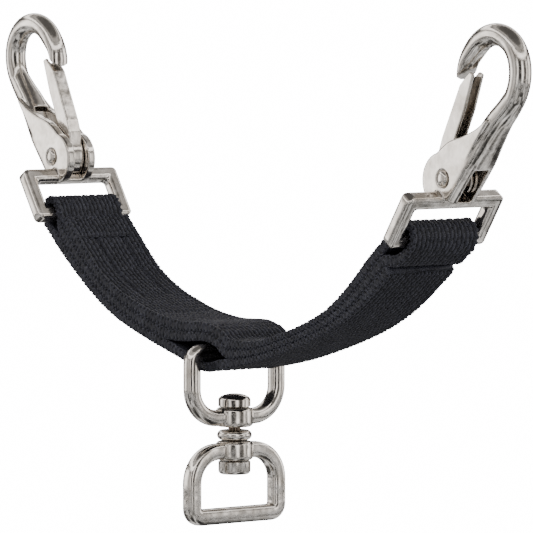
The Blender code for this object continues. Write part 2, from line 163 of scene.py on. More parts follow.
# The seams' stitches, and the x of the two seams that close the swivel's pocket.
POCKET = (-23.0, 17.0)
LEFT_RUN = 29.0
RIGHT_RUN = 46.0
RUN_GAP = 2.0
SEAM_HALF = 8.0
STITCH_LENGTH = 2.5
STITCH_RADIUS = 0.27
PITCH_ALONG = 3.15
PITCH_ACROSS = 3.1

# How much weave goes round an eye's bar, and the first step of it.
FOLD_WEAVE = 11.3
FOLD_STEP = 0.3

# Where the middle ply crosses over from the upper face to the lower, as the x where the crossing starts and
# the x where it ends.
CROSSING = (8.0, 24.0)

# Camera and studio.
CAMERA_AZIMUTH = radians(52.4)
CAMERA_ELEVATION = radians(3.5)
CAMERA_DISTANCE = 1.362
CAMERA_TARGET = (0.0141, 0.0, 0.0231)
CAMERA_LENS = 346.7
FLOOR_HEIGHT = -0.110
FLOOR_SIZE = 1.3
FLOOR_MIRRORED = 1.6
STUDIO_STRENGTH = 4.2
BACKDROP_STRENGTH = 16.0
WHITE = (1.0, 1.0, 1.0, 1.0)


# Drawing


def arc(centre, radius, start, end, steps):
    """Points of an arc, from the start angle to the end angle."""
    angles = [start + (end - start) * i / steps for i in range(steps + 1)]
    return [(centre[0] + radius * cos(a), centre[1] + radius * sin(a)) for a in angles]


def smooth_curve(points, steps):
    """Points of a Catmull-Rom curve through the given ones."""
    ends = [points[0], *points, points[-1]]
    curve = []
    for i in range(len(points) - 1):
        a, b, c, d = (Vector(p) for p in ends[i : i + 4])
        for k in range(steps):
            t = k / steps
            near = 2 * b + (c - a) * t
            far = (2 * a - 5 * b + 4 * c - d) * t**2 + (3 * b - a - 3 * c + d) * t**3
            curve.append(tuple((near + far) / 2))
    return [*curve, tuple(points[-1])]


def normals(path, closed):
    """The unit normal at each point of a plane path, on its left-hand side."""
    found = []
    count = len(path)
    for i in range(count):
        before = path[(i - 1) % count] if closed or i else path[0]
        after = path[(i + 1) % count] if closed or i < count - 1 else path[-1]
        along = (after[0] - before[0], after[1] - before[1])
        length = hypot(*along)
        found.append((-along[1] / length, along[0] / length))
    return found


def smoothstep(low, high, value):
    t = np.clip((value - low) / (high - low), 0.0, 1.0)
    return t * t * (3.0 - 2.0 * t)


def mesh_object(name, points, faces):
    """An object from points in millimetres."""
    mesh = bpy.data.meshes.new(name)
    mesh.from_pydata([Vector(p) * MM for p in points], [], faces)
    shape = bmesh.new()
    shape.from_mesh(mesh)
    bmesh.ops.recalc_face_normals(shape, faces=shape.faces)
    shape.to_mesh(mesh)
    shape.free()
    item = bpy.data.objects.new(name, mesh)
    bpy.context.scene.collection.objects.link(item)
    return item


def place(plane, a, b, across):
    return (a, across, b) if plane == "XZ" else (across, a, b)


def extrusion(name, plane, outline, half_width):
    """A prism of a plane outline, centred on the drawing plane."""
    count = len(outline)
    points = [place(plane, *p, side) for side in (-half_width, half_width) for p in outline]
    sides = [(i, (i + 1) % count, count + (i + 1) % count, count + i) for i in range(count)]
    return mesh_object(name, points, [*sides, tuple(range(count)), tuple(range(count, 2 * count))])


def sweep(name, plane, path, sections, closed=False):
    """A bar along a plane path. A section lists (offset to the path's left, offset across the plane)."""
    points = []
    for (a, b), (na, nb), section in zip(path, normals(path, closed), sections):
        points += [place(plane, a + na * s, b + nb * s, across) for s, across in section]
    sides, stations = len(sections[0]), len(path)
    faces = []
    for i in range(stations if closed else stations - 1):
        j = (i + 1) % stations
        for k in range(sides):
            n = (k + 1) % sides
            faces.append((i * sides + k, i * sides + n, j * sides + n, j * sides + k))
    if not closed:
        faces += [tuple(range(sides)), tuple(range((stations - 1) * sides, stations * sides))]
    return mesh_object(name, points, faces)


def rounded_section(half_in, half_across, power, sides):
    """A superellipse: power 2 is an ellipse, and a larger power a square with rounded corners."""
    section = []
    for i in range(sides):
        angle = 2 * pi * (i + 0.5) / sides
        c, s = cos(angle), sin(angle)
        reach = (abs(c) ** power + abs(s) ** power) ** (-1 / power)
        section.append((half_in * reach * c, half_across * reach * s))
    return section


def lathe(name, profile, steps, axis="Z", centre=(0.0, 0.0)):
    """A turned piece. The profile lists (radius, height), and its first and last radius are 0."""
    points, faces = [], []
    for radius, height in profile:
        for i in range(steps):
            angle = 2 * pi * (i + 0.5) / steps
            x, y = radius * cos(angle), radius * sin(angle)
            points.append((centre[0] + x, height, centre[1] + y) if axis == "Y" else (x, y, height))
    for row in range(len(profile) - 1):
        for i in range(steps):
            j = (i + 1) % steps
            faces.append((row * steps + i, row * steps + j, (row + 1) * steps + j, (row + 1) * steps + i))
    item = mesh_object(name, points, faces)
    weld(item)
    return item


def cylinder(name, radius, low, high, steps, axis="Z", centre=(0.0, 0.0)):
    profile = [(0.0, low), (radius, low), (radius, high), (0.0, high)]
    return lathe(name, profile, steps, axis, centre)


def weld(item):
    shape = bmesh.new()
    shape.from_mesh(item.data)
    bmesh.ops.remove_doubles(shape, verts=shape.verts, dist=WELD * MM)
    bmesh.ops.dissolve_degenerate(shape, edges=shape.edges, dist=WELD * MM)
    shape.to_mesh(item.data)
    shape.free()


def apply_modifiers(item):
    graph = bpy.context.evaluated_depsgraph_get()
    mesh = bpy.data.meshes.new_from_object(item.evaluated_get(graph))
    item.modifiers.clear()
    item.data = mesh


def combine(item, other, operation):
    """Joins the other shape to the item, or cuts it out, and removes the other shape."""
    modifier = item.modifiers.new(operation.title(), "BOOLEAN")
    modifier.operation = operation
    modifier.solver = "EXACT"
    modifier.object = other
    apply_modifiers(item)
    bpy.data.objects.remove(other, do_unlink=True)
    weld(item)


def cast(item, voxel, passes):
    """Remakes a shape as one even skin and softens its edges, as casting and plating do."""
    remesh = item.modifiers.new("Skin", "REMESH")
    remesh.mode = "VOXEL"
    remesh.voxel_size = voxel * MM
    soften = item.modifiers.new("Soften", "SMOOTH")
    soften.factor = 0.5
    soften.iterations = passes
    apply_modifiers(item)


def bevel(item, width, segments, angle):
    modifier = item.modifiers.new("Bevel", "BEVEL")
    modifier.width = width * MM
    modifier.segments = segments
    modifier.limit_method = "ANGLE"
    modifier.angle_limit = angle


def finish(item, material, body, matrix=None, sharp=180):
    """Paints a piece, moves it to its place and lets it ride on its body."""
    item.data.materials.clear()
    item.data.materials.append(material)
    item.data.shade_smooth()
    if sharp < 180:
        item.data.set_sharp_from_angle(angle=radians(sharp))
    if matrix:
        item.data.transform(matrix)
    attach(item, body)
    return item


# Snap hooks


def at_hinge(points):
    """Points of a hook, moved so that the eye's lower bar is at the origin."""
    return [(v, u + EYE_PITCH) for v, u in points]


def hook_matrix(side):
    """From a hook's own axes to its place on the strap's end."""
    bar = LEFT_BAR if side == "left" else RIGHT_BAR
    turn = Matrix.Rotation(0.0 if side == "left" else pi, 4, "Z")
    lean = Matrix.Rotation(-LEANS[side], 4, "Y")
    return Matrix.Translation(Vector((bar[0], 0.0, bar[1])) * MM) @ turn @ lean


def thinning_at(angle):
    """How far the bow's bar has thinned at an angle of the bow: 1 at the tip and 0 at the crest."""
    share = min(1.0, max(0.0, (TAPER_START - angle) / TAPER_SPAN))
    return share * share * (3 - 2 * share)


def bow_path(steps):
    """The bow's centre line, and how far its bar thins on the inside, from 1 at the tip to 0."""
    path, thinning = [], []
    for i in range(steps + 1):
        angle = TIP_ANGLE + (pi - TIP_ANGLE) * i / steps
        thin = thinning_at(angle)
        reach = BOW_RADIUS + TIP_TAPER * thin
        wide = BOW_BACK if angle > pi / 2 else 1.0
        tall = BOW_TALL if angle > 0 else 1.0
        across, up = reach * wide * cos(angle), reach * tall * sin(angle)
        path.append((BOW_CENTRE[0] + across, BOW_CENTRE[1] + up))
        thinning.append(thin)
    return path, thinning


def hook_bar():
    """The tip, the bow and the spine, which widens towards the cheeks and grows flatter."""
    steps = 44
    spine_steps = 6
    widening, flattening, squareness = 1.6, 1.5, 1.3
    bow, thinning = bow_path(steps)
    path = at_hinge([*bow, *smooth_curve([bow[-1], *SPINE], spine_steps)[1:]])
    bottom, top = path[-1][1], path[steps][1]
    sections = []
    for i, point in enumerate(path):
        down = 0.0 if i < steps else (top - point[1]) / (top - bottom)
        half_in = BOW_SECTION / 2 - TIP_TAPER * (thinning[i] if i < steps else 0.0)
        half_across = BOW_SECTION / 2 + (HALF_HOOK - BOW_SECTION / 2) * min(1.0, widening * down)
        power = 2.0 + squareness * min(1.0, flattening * down)
        sections.append(rounded_section(half_in, half_across, power, 32))
    bar = sweep("hook_bar", "XZ", path, sections)
    combine(bar, extrusion("tip_cut", "XZ", at_hinge(TIP_CUT), BOW_SECTION), "DIFFERENCE")
    return bar


def tip_groove():
    """The groove along the inside of the hook's tip, where the gate's ears come to rest."""
    steps, length = 24, radians(96)
    path, sections = [], []
    for i in range(steps + 1):
        angle = TIP_ANGLE + length * i / steps
        thin = thinning_at(angle)
        inner = BOW_RADIUS - BOW_SECTION / 2 + 2 * TIP_TAPER * thin
        path.append((BOW_CENTRE[0] + inner * cos(angle), BOW_CENTRE[1] + inner * sin(angle)))
        fade = 1.0 - i / steps
        sections.append(rounded_section(0.15 + 0.75 * fade, 0.8 + 0.9 * fade, 2.6, 16))
    return sweep("groove", "XZ", at_hinge(path), sections)


def cheek_outline():
    lobe = arc(LOBE_CENTRE, LOBE_RADIUS, radians(-115), radians(42), 36)
    upper = smooth_curve([lobe[-1], (5.3, 14.4), (1.7, 18.8), (-1.4, 23.2), (-3.4, 27.6)], 8)[1:]
    spine_side = [(-4.2, 27.6), (-3.6, 20.0), (-3.2, 12.0), (-2.4, 2.0)]
    return at_hinge([*lobe, *upper, *spine_side])


def slot_outline():
    clear = EYE_WIRE / 2 + CLEARANCE
    window = [(-12.0, clear), (clear, clear), (clear, -8.0), (14.0, -8.0)]
    pocket = [(14.0, 24.0), (1.0, 24.0), (-2.2, 22.6), (-2.0, 13.0), (-12.0, 13.0)]
    return at_hinge([*window, *pocket])


def rectangle(half_width, low, high):
    return [(-half_width, low), (half_width, low), (half_width, high), (-half_width, high)]


def hook_eye():
    """The rectangular eye, of squarish bar with rounded edges."""
    half, wire = EYE_INNER_WIDTH / 2, EYE_WIRE / 2
    eye = extrusion("eye", "YZ", rectangle(half + EYE_WIRE, -wire, EYE_PITCH + wire), wire)
    opening = extrusion("opening", "YZ", rectangle(half, wire, EYE_PITCH - wire), EYE_WIRE)
    combine(eye, opening, "DIFFERENCE")
    bevel(eye, EYE_ROUND, 5, BEVEL_ANGLE)
    y = half + EYE_WIRE - EYE_CORNER
    lower, upper = (y, -wire + EYE_CORNER), (y, EYE_PITCH + wire - EYE_CORNER)
    outline = arc(lower, EYE_CORNER, -pi / 2, 0.0, 8)
    outline += arc(upper, EYE_CORNER, 0.0, pi / 2, 8)
    outline += [(-y, z) for y, z in reversed(outline)]
    combine(eye, extrusion("rounding", "YZ", outline, EYE_WIRE), "INTERSECT")
    return eye


def hook_body():
    body = hook_bar()
    cheeks = extrusion("cheeks", "XZ", cheek_outline(), HALF_HOOK)
    bevel(cheeks, 0.8, 2, BEVEL_ANGLE)
    combine(body, cheeks, "UNION")
    combine(body, extrusion("slot", "XZ", slot_outline(), HALF_SLOT), "DIFFERENCE")
    combine(body, tip_groove(), "DIFFERENCE")
    combine(body, hook_eye(), "UNION")
    centre = (RIVET[0], RIVET[1] + EYE_PITCH)
    hole = cylinder("hole", HOLE_RADIUS, -CUTTER, CUTTER, 32, "Y", centre)
    combine(body, hole, "DIFFERENCE")
    floor = HALF_HOOK - RECESS_DEPTH
    for low, high in ((-CUTTER, -floor), (floor, CUTTER)):
        combine(body, cylinder("recess", RECESS_RADIUS, low, high, 40, "Y", centre), "DIFFERENCE")
    cast(body, HOOK_VOXEL, 4)
    return body


def from_rivet(points):
    return [(v - RIVET[0], u - RIVET[1]) for v, u in points]


def gate_outline():
    base = arc(RIVET, GATE_BASE_RADIUS, radians(-79), 0.0, 24)
    front = [(9.6, 8.6), (10.4, 12.0), (12.3, 27.0), (11.7, 29.5)]
    finger = [*front, (11.0, 31.9), (9.5, 32.2), (7.2, 23.0), (5.8, 13.0)]
    back = arc(RIVET, 4.4, radians(95), radians(200), 20)
    above_bar = arc(RIVET, RIVET[1] - EYE_WIRE / 2 - CLEARANCE, radians(215), radians(266), 12)
    beside_bar = (EYE_WIRE / 2 + 3 * CLEARANCE, EYE_WIRE / 2 + CLEARANCE)
    return from_rivet([*base, *finger, *back, *above_bar, beside_bar])


def channel_outline():
    base = arc(RIVET, GATE_BASE_RADIUS - GATE_WALL, radians(-78), 0.0, 24)
    front = [(9.6, 8.6), (10.4, 12.0), (12.3, 27.0), (12.3, 34.0)]
    finger = [(v - GATE_WALL, u) for v, u in front]
    return from_rivet([*base, *finger, (-CUTTER, 34.0), (-CUTTER, 0.0)])


def hook_gate():
    """A gate of folded sheet: two flanges and a web, open towards the inside of the hook."""
    gate = extrusion("gate", "XZ", gate_outline(), GATE_WIDTH / 2)
    bevel(gate, 0.32, 3, BEVEL_ANGLE)
    channel = extrusion("channel", "XZ", channel_outline(), GATE_WIDTH / 2 - GATE_WALL)
    combine(gate, channel, "DIFFERENCE")
    combine(gate, cylinder("hole", HOLE_RADIUS, -CUTTER, CUTTER, 32, "Y"), "DIFFERENCE")
    cast(gate, GATE_VOXEL, 2)
    return gate


def hook_rivet():
    """A rivet with a low dome on each side, each in its recess."""
    shank, head, inner = RIVET_DIAMETER / 2, 1.9, HALF_HOOK - 0.5
    side = [(shank, inner), (head - 0.15, inner), (head, inner + 0.15), (head, inner + 0.75)]
    side += [(head - 0.2, inner + 1.0), (head * 0.72, inner + 1.2)]
    side += [(head * 0.4, inner + 1.32), (0.0, inner + 1.36)]
    return lathe("rivet", [*[(r, -h) for r, h in reversed(side)], *side], 40, "Y")


def gate_spring():
    """A torsion spring round the rivet, of round wire."""
    radius, turns, steps, pitch = 1.95, 2.5, 40, 0.62
    wire = 0.54
    coil = []
    for i in range(int(turns * steps) + 1):
        angle = radians(60) + 2 * pi * i / steps
        coil.append((radius * cos(angle), (i / steps - turns / 2) * pitch, radius * sin(angle)))
    data = bpy.data.curves.new("spring", "CURVE")
    data.dimensions = "3D"
    data.bevel_depth = wire / 2 * MM
    data.bevel_resolution = 4
    data.use_fill_caps = True
    spline = data.splines.new("POLY")
    points = [(3.4, coil[0][1], 8.4), *coil, (-3.4, coil[-1][1], 8.0)]
    spline.points.add(len(points) - 1)
    for point, place_mm in zip(spline.points, points):
        point.co = (*(Vector(place_mm) * MM), 1.0)
    guide = bpy.data.objects.new("spring_guide", data)
    bpy.context.scene.collection.objects.link(guide)
    graph = bpy.context.evaluated_depsgraph_get()
    mesh = bpy.data.meshes.new_from_object(guide.evaluated_get(graph))
    spring = bpy.data.objects.new("spring", mesh)
    bpy.context.scene.collection.objects.link(spring)
    bpy.data.objects.remove(guide, do_unlink=True)
    return spring


def snap_hooks(nickel, steel):
    """Each kind of piece is shaped once, and then placed on both ends of the strap."""
    pivot = Matrix.Translation(Vector((RIVET[0], 0.0, RIVET[1] + EYE_PITCH)) * MM)
    kinds = (
        ("hook_body", hook_body, "hook", Matrix.Identity(4), nickel, "nickel_plate", 180),
        ("hook_gate", hook_gate, "gate", pivot, nickel, "nickel_plate", 180),
        ("hook_rivet", hook_rivet, "hook", pivot, nickel, "nickel_plate", 40),
        ("gate_spring", gate_spring, "hook", pivot, steel, "spring_steel", 60),
    )
    for kind, make, body, shift, material, slot, sharp in kinds:
        first = make()
        second = first.copy()
        second.data = first.data.copy()
        bpy.context.scene.collection.objects.link(second)
        for side, item in (("left", first), ("right", second)):
            item.name = f"{side}_{kind}_look"
            finish(item, material, f"{side}_{body}", hook_matrix(side) @ shift, sharp)
            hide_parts(f"{side}_{kind}")


# Double swivel


def corner_path(corners):
    """A closed path with a rounded corner at each (y, z, radius, start angle)."""
    path = []
    for y, z, radius, start in corners:
        across = y - radius if y > 0 else y + radius
        up = z + radius if start in (180, 270) else z - radius
        steps = 16 if radius > 3 else 6
        path += arc((across, up), radius, radians(start), radians(start + 90), steps)
    return path


def bored_hub(item, span):
    """Joins a turned hub to a loop or ring, and bores it for the pin."""
    low, high = span
    hub, edge = HUB_DIAMETER / 2, 0.6
    bore = PIN_DIAMETER / 2 + CLEARANCE
    profile = [(0.0, low), (hub - edge, low), (hub, low + edge)]
    profile += [(hub, high - edge), (hub - edge, high), (0.0, high)]
    combine(item, lathe("hub", profile, 64), "UNION")
    combine(item, cylinder("bore", bore, low - 1.0, high + 1.0, 48), "DIFFERENCE")


def swivel_loop():
    half, low = SWIVEL_PITCH / 2, sum(UPPER_HUB) / 2
    upper, lower = 3.0, 8.0
    top_corners = ((half, 0.0, upper, 0), (-half, 0.0, upper, 90))
    path = corner_path((*top_corners, (-half, low, lower, 180), (half, low, lower, 270)))
    section = rounded_section(SWIVEL_WIRE / 2, SWIVEL_WIRE / 2, 2.5, 24)
    loop = sweep("loop", "YZ", path, [section] * len(path), closed=True)
    bored_hub(loop, UPPER_HUB)
    cast(loop, SWIVEL_VOXEL, 5)
    return loop


def swivel_ring():
    half, high, low = SWIVEL_PITCH / 2, sum(LOWER_HUB) / 2, RING_BOTTOM_BAR
    upper, lower = 8.2, 2.4
    top_corners = ((half, high, upper, 0), (-half, high, upper, 90))
    path = corner_path((*top_corners, (-half, low, lower, 180), (half, low, lower, 270)))
    section = rounded_section(SWIVEL_WIRE / 2, SWIVEL_WIRE / 2, 3.6, 24)
    ring = sweep("ring", "YZ", path, [section] * len(path), closed=True)
    bored_hub(ring, LOWER_HUB)
    cast(ring, SWIVEL_VOXEL, 4)
    return ring


def swivel_pin():
    """The pin, with a flat head below and a domed one above."""
    shank, head = PIN_DIAMETER / 2, HEAD_DIAMETER / 2
    upper, lower = UPPER_HUB[1] + CLEARANCE, LOWER_HUB[0] - CLEARANCE
    bottom, top = LOWER_HEAD_BOTTOM, UPPER_HEAD_TOP
    edge, round_edge, dome, steps = 0.15, 1.1, 1.7, 12
    profile = [(0.0, bottom), (head - 1.4, bottom)]
    profile += arc((head - round_edge, bottom + round_edge), round_edge, -pi / 2, 0.0, 8)
    profile += [(head, lower - edge), (head - edge, lower), (shank, lower), (shank, upper)]
    profile += [(head - edge, upper), (head, upper + edge), (head, top - dome)]
    angles = [pi / 2 * i / steps for i in range(1, steps + 1)]
    profile += [(head * cos(a), top - dome + dome * sin(a)) for a in angles]
    return lathe("pin", profile, 72)


def swivel_collar():
    low, high = COLLAR
    outer, half = COLLAR_DIAMETER / 2, (high - low) / 2
    bore = PIN_DIAMETER / 2 + CLEARANCE
    bead = arc((outer - half, (low + high) / 2), half, -pi / 2, pi / 2, 20)
    collar = lathe("collar", [(0.0, low), *bead, (0.0, high)], 72)
    combine(collar, cylinder("bore", bore, low - 1.0, high + 1.0, 60), "DIFFERENCE")
    return collar


def double_swivel(nickel):
    kinds = (
        ("swivel_loop", swivel_loop, "swivel_upper", 180),
        ("swivel_ring", swivel_ring, "swivel_lower", 180),
        ("swivel_pin", swivel_pin, "swivel_spindle", 40),
        ("swivel_collar", swivel_collar, "swivel_spindle", 40),
    )
    for kind, make, body, sharp in kinds:
        item = make()
        item.name = f"{kind}_look"
        finish(item, nickel, body, None, sharp)
        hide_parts(kind)


# Webbing


def strap_courses():
    """The centre lines of the webbing's three plies, from eye to eye, with their thickness."""
    line = np.array(smooth_curve(STRAP_LINE, 30))
    x, z, thick = line.T
    dx, dz = np.gradient(x), np.gradient(z)
    length = np.hypot(dx, dz)
    up = np.stack([-dz / length, dx / length], 1)
    s = np.concatenate([[0.0], np.cumsum(np.hypot(np.diff(x), np.diff(z)))])
    near_bar = np.minimum(s, s[-1] - s)
    limit = LAYER + PLY_SWELL * smoothstep(0.0, 7.0, near_bar) * (1.0 - 0.55 * np.exp(-((x / 14.0) ** 2)))
    ply = np.minimum(thick / 3, limit)
    from_top = thick / 2 - 0.5 * ply - ply * smoothstep(-1.0, 7.0, s)
    from_bottom = -thick / 2 + 0.5 * ply + ply * smoothstep(5.0, 10.5, s[-1] - s)
    start, end = CROSSING
    turn = smoothstep(start, end, x)
    middle = from_top * (1 - turn) + from_bottom * turn
    top = np.where(x < start, middle + ply, thick / 2 - 0.5 * ply)
    top = np.where(x < start, top, np.maximum(top, middle + ply * 0.98))
    bottom = np.where(x > end, middle - ply, -thick / 2 + 0.5 * ply)
    spot = np.stack([x, z], 1)
    offsets = {"top": top, "middle": middle, "bottom": bottom}
    courses = {name: spot + up * offset[:, None] for name, offset in offsets.items()}
    return courses, ply, s, up, x


def fold(bar, first, last, outward):
    """Points of the fold round an eye's bar, between two points on either side of it."""
    steps, bulge = 40, 1.12
    side = (np.array(first) - np.array(last)) / 2
    away = np.array(outward) / np.hypot(*outward) * np.hypot(*side) * bulge
    centre = np.array(bar)
    angles = np.linspace(0.0, pi, steps + 2)[1:-1]
    return [centre + side * cos(a) + away * sin(a) for a in angles]


def resample(path, values, step):
    """A line at even steps, with its own values carried along."""
    along = np.concatenate([[0.0], np.cumsum(np.hypot(*np.diff(path, axis=0).T))])
    count = max(2, int(round(along[-1] / step)))
    even = np.linspace(0.0, along[-1], count + 1)
    spots = np.stack([np.interp(even, along, path[:, 0]), np.interp(even, along, path[:, 1])], 1)
    return spots, [np.interp(even, along, v) for v in values], even


def weave(p, y):
    """Height of the cloth, from 0 in a gap to 1 on a yarn. Neighbouring yarns are half a float apart."""
    wander = 0.1 * np.sin(p * 0.61 + y * 0.9) + 0.06 * np.sin(p * 1.73 + y * 2.3)
    column = (y + wander) / YARN_PITCH
    index = np.floor(column)
    across = np.sin(pi * (column - index)) ** 0.55
    shift = FLOAT_STAGGER * np.mod(index, 2) + 0.06 * np.sin(index * 2.7 + p * 0.21)
    along = np.abs(np.sin(pi * (p / FLOAT_LENGTH + shift))) ** 0.5
    return across * (0.25 + 0.75 * along)


def seam_groove(p, y, seams):
    """How deep the stitching pulls the webbing in.

    A seam is (place, half length) across the webbing, or (start, end, side) along it.
    """
    depth = np.zeros(np.broadcast(p, y).shape)
    for seam in seams:
        if len(seam) == 2:
            spot, half = seam
            inside = smoothstep(half + 0.8, half - 0.3, np.abs(y))
            depth += SEAM_DEPTH * np.exp(-(((p - spot) / 0.6) ** 2)) * inside
        else:
            start, end, side = seam
            inside = smoothstep(start - 1.0, start, p) * smoothstep(end + 1.0, end, p)
            depth += SEAM_DEPTH * np.exp(-(((y - side) / 0.45) ** 2)) * inside
    return depth


def ribbon_section():
    """Places round a ribbon's section: across it, and the height as a share of half a ply.

    The last two lists are 1 on the woven face and 1 at the edges.
    """
    edge_points, back_points = 14, 10
    flat = STRAP_WIDTH / 2 - EDGE_ROUND
    turn = np.linspace(0.0, pi, edge_points + 2)[1:-1]
    bulge = EDGE_ROUND * np.sin(turn) ** 0.6
    rise = np.sign(np.cos(turn)) * np.abs(np.cos(turn)) ** 0.5
    front, back = np.linspace(-flat, flat, WEB_COLUMNS), np.linspace(flat, -flat, back_points)
    y = np.concatenate([front, flat + bulge, back, -flat - bulge])
    v = np.concatenate([np.ones(WEB_COLUMNS), rise, -np.ones(back_points), -rise])
    on_face = np.concatenate([np.ones(WEB_COLUMNS), np.zeros(2 * edge_points + back_points)])
    on_edge = np.clip((np.abs(y) - flat + 0.5) / 0.9, 0.0, 1.0)
    return y, v, on_face, on_edge


def edge_loops(p, y, level):
    """Height of the yarn loops along the webbing's two edges, from 0 to 1."""
    hand = np.sign(y)
    wander = 0.8 * np.sin(p * 0.83 + hand) + 0.9 * np.sin(p * 2.1 + 2.0 * level)
    drift = 0.5 * np.sin(p * 1.31 + hand)
    return 0.5 + 0.5 * np.cos(2 * pi * p / EDGE_LOOP + wander) * np.cos(pi * level / EDGE_ROW + drift)


def cut_ends(even, y, cuts):
    """How the webbing thins towards its cut ends, and how ragged they are."""
    ends = np.ones(len(even))
    ragged = np.zeros((len(even), len(y)))
    tooth = 0.28 * np.sin(y * 5.1 + 0.7) + 0.2 * np.sin(y * 2.3)
    for at_end in cuts:
        away = even if at_end == 0 else even[-1] - even
        hand = 1 if at_end == 0 else -1
        ends *= 0.62 + 0.38 * smoothstep(-0.1, 0.9, away)
        ragged += hand * tooth[None, :] * smoothstep(2.0, 0.0, away)[:, None]
    return ends, ragged


def ribbon_faces(rows, columns, outer):
    """The quads of a ribbon's skin and its two end caps."""
    i = np.arange(rows - 1)[:, None] * columns
    k = np.arange(columns)[None, :]
    n = (k + 1) % columns
    quads = np.stack([i + k, i + n, i + columns + n, i + columns + k], -1).reshape(-1, 4)
    caps = [list(range(columns)), list(range((rows - 1) * columns, rows * columns))]
    if outer > 0:
        quads = quads[:, ::-1]
        caps[1].reverse()
    else:
        caps[0].reverse()
    return quads, caps


def ribbon(path, ply, phase, outer, cuts, seams=()):
    """One length of webbing: points, faces and texture places.

    The weave is on its outer side, which is 1 for the left of the path and -1 for the right.
    """
    spots, (ply, phase), even = resample(path, [ply, phase], WEB_STEP)
    step = np.gradient(spots, axis=0)
    step /= np.hypot(*step.T)[:, None]
    side = np.stack([-step[:, 1], step[:, 0]], 1) * outer
    y, v, on_face, on_edge = ribbon_section()
    p, across, half = phase[:, None], y[None, :], (ply / 2)[:, None]
    lift = WEAVE_DEPTH * (weave(p, across) - 1.0) * on_face * (1.0 - 0.5 * on_edge)
    lift = lift - seam_groove(p, across, seams) * on_face
    loop = edge_loops(p, across, v[None, :] * half)
    out = (loop**0.8 - 0.55) * EDGE_RELIEF * on_edge
    deep = 1.0 + (0.1 - 0.08 * (1.0 - loop)) * on_edge
    ends, ragged = cut_ends(even, y, cuts)
    level = v[None, :] * deep * half * ends[:, None] + lift * ends[:, None]
    xz = spots[:, None, :] + side[:, None, :] * level[..., None] + step[:, None, :] * ragged[..., None]
    points = np.stack([xz[..., 0], across + out * np.sign(across), xz[..., 1]], -1).reshape(-1, 3)
    quads, caps = ribbon_faces(len(even), len(y), outer)
    uv = np.stack(np.broadcast_arrays(p * UV_SCALE, across * UV_SCALE), -1).reshape(-1, 2)
    return points, quads, caps, uv


def webbing(name, ribbons, material):
    """Several ribbons as one object, with the place along and across the webbing as texture coordinates."""
    points, quads, caps, places = [], [], [], []
    base = 0
    for spots, faces, ends, uv in ribbons:
        points.append(spots)
        quads.append(faces + base)
        caps += [[c + base for c in cap] for cap in ends]
        places.append(uv)
        base += len(spots)
    points, uv = np.concatenate(points) * MM, np.concatenate(places)
    mesh = bpy.data.meshes.new(name)
    mesh.from_pydata(points.tolist(), [], [*np.concatenate(quads).tolist(), *caps])
    layer = mesh.uv_layers.new(name="weave")
    corners = np.empty(len(mesh.loops), dtype=np.int32)
    mesh.loops.foreach_get("vertex_index", corners)
    layer.data.foreach_set("uv", uv[corners].astype(np.float32).ravel())
    mesh.shade_smooth()
    mesh.materials.append(material)
    item = bpy.data.objects.new(name, mesh)
    bpy.context.scene.collection.objects.link(item)
    return item


def matched(phase, share, target):
    """Stretches the phase a little so that it meets the other half of the webbing in step."""
    miss = (target - phase[-1]) % FLOAT_LENGTH
    miss = miss - FLOAT_LENGTH if miss > FLOAT_LENGTH / 2 else miss
    return phase + miss * share


def pocket_seams(s, x):
    """How far along the strap the two seams are that close the swivel's pocket."""
    return [float(np.interp(spot, x, s)) for spot in POCKET]


def seam_plan(s, x):
    """The places of the seams on the upper ply, for seam_groove."""
    right = s[-1] - RIGHT_SEAM
    bars = (LEFT_SEAM, *pocket_seams(s, x), right)
    runs = ((LEFT_SEAM, LEFT_SEAM + LEFT_RUN), (right - RIGHT_RUN, right))
    across = [(bar, SEAM_HALF) for bar in bars]
    along = [(*run, side) for run in runs for side in (-SEAM_SIDE, SEAM_SIDE)]
    return [*across, *along]


def left_half(courses, ply, s, m, seams, material):
    """The upper ply, and the lower two with their fold round the left eye, as far as the strap's middle."""
    top, mid, low = courses["top"], courses["middle"], courses["bottom"]
    part = slice(int(np.searchsorted(s, LEFT_CUT)), m + 1)
    upper = ribbon(top[part], ply[part], s[part], 1, (0,), seams)
    near = slice(0, m + 1)
    turn = np.array(fold(LEFT_BAR, mid[0], low[0], top[0] - top[4]))
    path = np.concatenate([mid[near][::-1], turn, low[near]])
    round_bar = np.linspace(-FOLD_STEP, FOLD_STEP - FOLD_WEAVE, len(turn))
    phase = np.concatenate([s[near][::-1], round_bar, -FOLD_WEAVE - s[near]])
    share = np.clip((s[m] - phase) / (2 * s[m] + FOLD_WEAVE), 0, 1)
    plies = np.concatenate([ply[near][::-1], np.full(len(turn), ply[0]), ply[near]])
    lower = ribbon(path, plies, matched(phase, share, -s[m]), -1, ())
    return webbing("webbing_left", [upper, lower], material)


def right_half(courses, ply, s, m, seams, material):
    """The upper two plies with their fold round the right eye, and the lower one, from the strap's middle."""
    top, mid, low = courses["top"], courses["middle"], courses["bottom"]
    total = s[-1]
    turn = np.array(fold(RIGHT_BAR, top[-1], mid[-1], top[-1] - top[-5]))
    path = np.concatenate([top[m:], turn, mid[m:][::-1]])
    round_bar = np.linspace(total + FOLD_STEP, total + FOLD_WEAVE - FOLD_STEP, len(turn))
    phase = np.concatenate([s[m:], round_bar, 2 * total + FOLD_WEAVE - s[m:][::-1]])
    share = smoothstep(total, total + 60.0, phase)
    plies = np.concatenate([ply[m:], np.full(len(turn), ply[-1]), ply[m:][::-1]])
    upper = ribbon(path, plies, matched(phase, share, s[m]), 1, (), seams)
    part = slice(m, int(np.searchsorted(s, total - RIGHT_CUT)) + 1)
    lower = ribbon(low[part], ply[part], s[part], -1, (1,))
    return webbing("webbing_right", [upper, lower], material)


